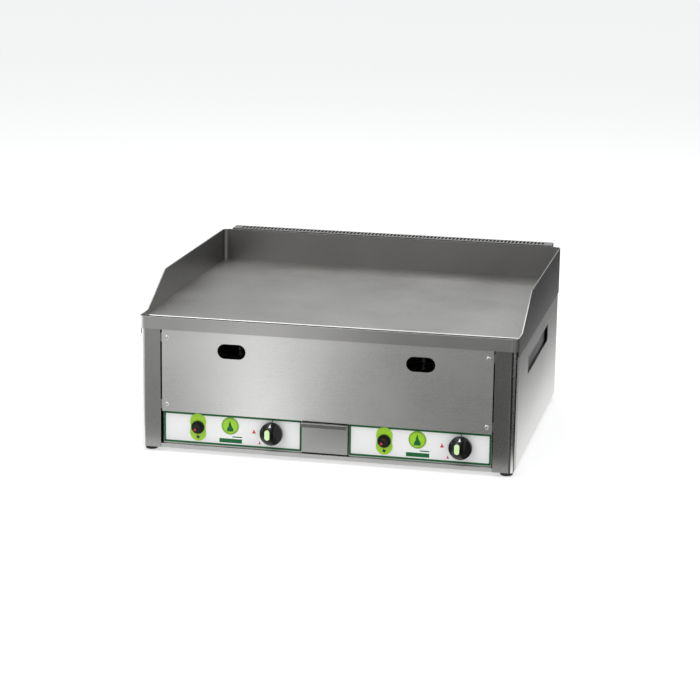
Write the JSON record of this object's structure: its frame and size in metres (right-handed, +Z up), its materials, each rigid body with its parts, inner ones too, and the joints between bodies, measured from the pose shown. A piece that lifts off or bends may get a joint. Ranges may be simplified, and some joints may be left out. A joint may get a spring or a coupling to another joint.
{
  "type": "gas griddle",
  "caption": "Table-top gas griddle with a flat plate between splash guards, two heated zones with knobs and igniters, a slotted rear flue and a sliding grease drawer.",
  "frame": {"origin": "on the table under the middle of the whole griddle", "axes": "+X to the right seen from the front, +Y to the back, +Z up"},
  "size_m": [0.66, 0.598, 0.295],
  "materials": {
    "plate_steel": "ground cooking steel",
    "satin_steel": "satin",
    "brushed_body": "brushed",
    "inner_steel": "dull",
    "screw_steel": "polished",
    "printed_film": "white film with a green border",
    "lime_plastic": "gloss",
    "black_plastic": "satin",
    "knob_plastic": "gloss",
    "pale_green_plastic": "gloss",
    "brass_parts": "machined",
    "pipe_steel": "zinc plated",
    "copper_pipe": "drawn copper",
    "burner_steel": "heat tinted",
    "electrode_ceramic": "glazed",
    "lead_rubber": "matt",
    "foot_rubber": "matt"
  },
  "bodies": {
    "griddle": {"cooking_plate": "plate_steel", "splash_guard": "satin_steel", "front_fascia": "satin_steel", "grease_trough": "satin_steel", "base_pan": "brushed_body", "left_front_post": "satin_steel", "right_front_post": "satin_steel", "left_side_panel": "brushed_body", "right_side_panel": "brushed_body", "left_heat_shield": "inner_steel", "right_heat_shield": "inner_steel", "back_panel": "brushed_body", "flue_box": "satin_steel", "flue_cover": "satin_steel", "front_panel": "brushed_body", "front_panel_screws": "screw_steel", "left_control_panel": "brushed_body", "right_control_panel": "brushed_body", "left_panel_overlay": "printed_film", "right_panel_overlay": "printed_film", "left_igniter_plate": "lime_plastic", "right_igniter_plate": "lime_plastic", "left_piezo_igniter": "black_plastic", "right_piezo_igniter": "black_plastic", "left_gas_valve": "brass_parts", "right_gas_valve": "brass_parts", "gas_manifold": "pipe_steel", "supply_pipe": "pipe_steel", "gas_inlet_fitting": "brass_parts", "left_burner_pipe": "copper_pipe", "right_burner_pipe": "copper_pipe", "left_injector": "brass_parts", "right_injector": "brass_parts", "left_burner": "burner_steel", "right_burner": "burner_steel", "burner_brackets": "inner_steel", "left_sensor_bracket": "inner_steel", "right_sensor_bracket": "inner_steel", "left_thermocouple": "copper_pipe", "right_thermocouple": "copper_pipe", "left_spark_electrode": "electrode_ceramic", "right_spark_electrode": "electrode_ceramic", "left_ignition_lead": "lead_rubber", "right_ignition_lead": "lead_rubber", "left_drawer_runner": "inner_steel", "right_drawer_runner": "inner_steel", "feet": "foot_rubber"},
    "drawer": {"grease_drawer": "brushed_body", "drawer_front": "satin_steel"},
    "left_plunger": {"left_stem_collar": "screw_steel"},
    "left_knob": {"left_knob": "knob_plastic", "left_knob_insert": "pale_green_plastic", "left_valve_stem": "brass_parts"},
    "left_button": {"left_igniter_button": "black_plastic"},
    "right_plunger": {"right_stem_collar": "screw_steel"},
    "right_knob": {"right_knob": "knob_plastic", "right_knob_insert": "pale_green_plastic", "right_valve_stem": "brass_parts"},
    "right_button": {"right_igniter_button": "black_plastic"}
  },
  "joints": [
    {"name": "drawer_slide", "type": "slide", "parent": "griddle", "child": "drawer", "axis": [0, -1, 0], "range_m": [0, 0.28]},
    {"name": "left_knob_push", "type": "slide", "parent": "griddle", "child": "left_plunger", "axis": [0, 1, 0], "range_m": [0, 0.004], "stiffness_N_per_m": 800},
    {"name": "left_knob_turn", "type": "hinge", "parent": "left_plunger", "child": "left_knob", "pos_m": [-0.0935, -0.272, 0.0465], "axis": [0, -1, 0], "range_deg": [0, 135]},
    {"name": "left_igniter_push", "type": "slide", "parent": "griddle", "child": "left_button", "axis": [0, 1, 0], "range_m": [0, 0.004], "stiffness_N_per_m": 600},
    {"name": "right_knob_push", "type": "slide", "parent": "griddle", "child": "right_plunger", "axis": [0, 1, 0], "range_m": [0, 0.004], "stiffness_N_per_m": 800},
    {"name": "right_knob_turn", "type": "hinge", "parent": "right_plunger", "child": "right_knob", "pos_m": [0.2365, -0.272, 0.0465], "axis": [0, -1, 0], "range_deg": [0, 135]},
    {"name": "right_igniter_push", "type": "slide", "parent": "griddle", "child": "right_button", "axis": [0, 1, 0], "range_m": [0, 0.004], "stiffness_N_per_m": 600}
  ]
}
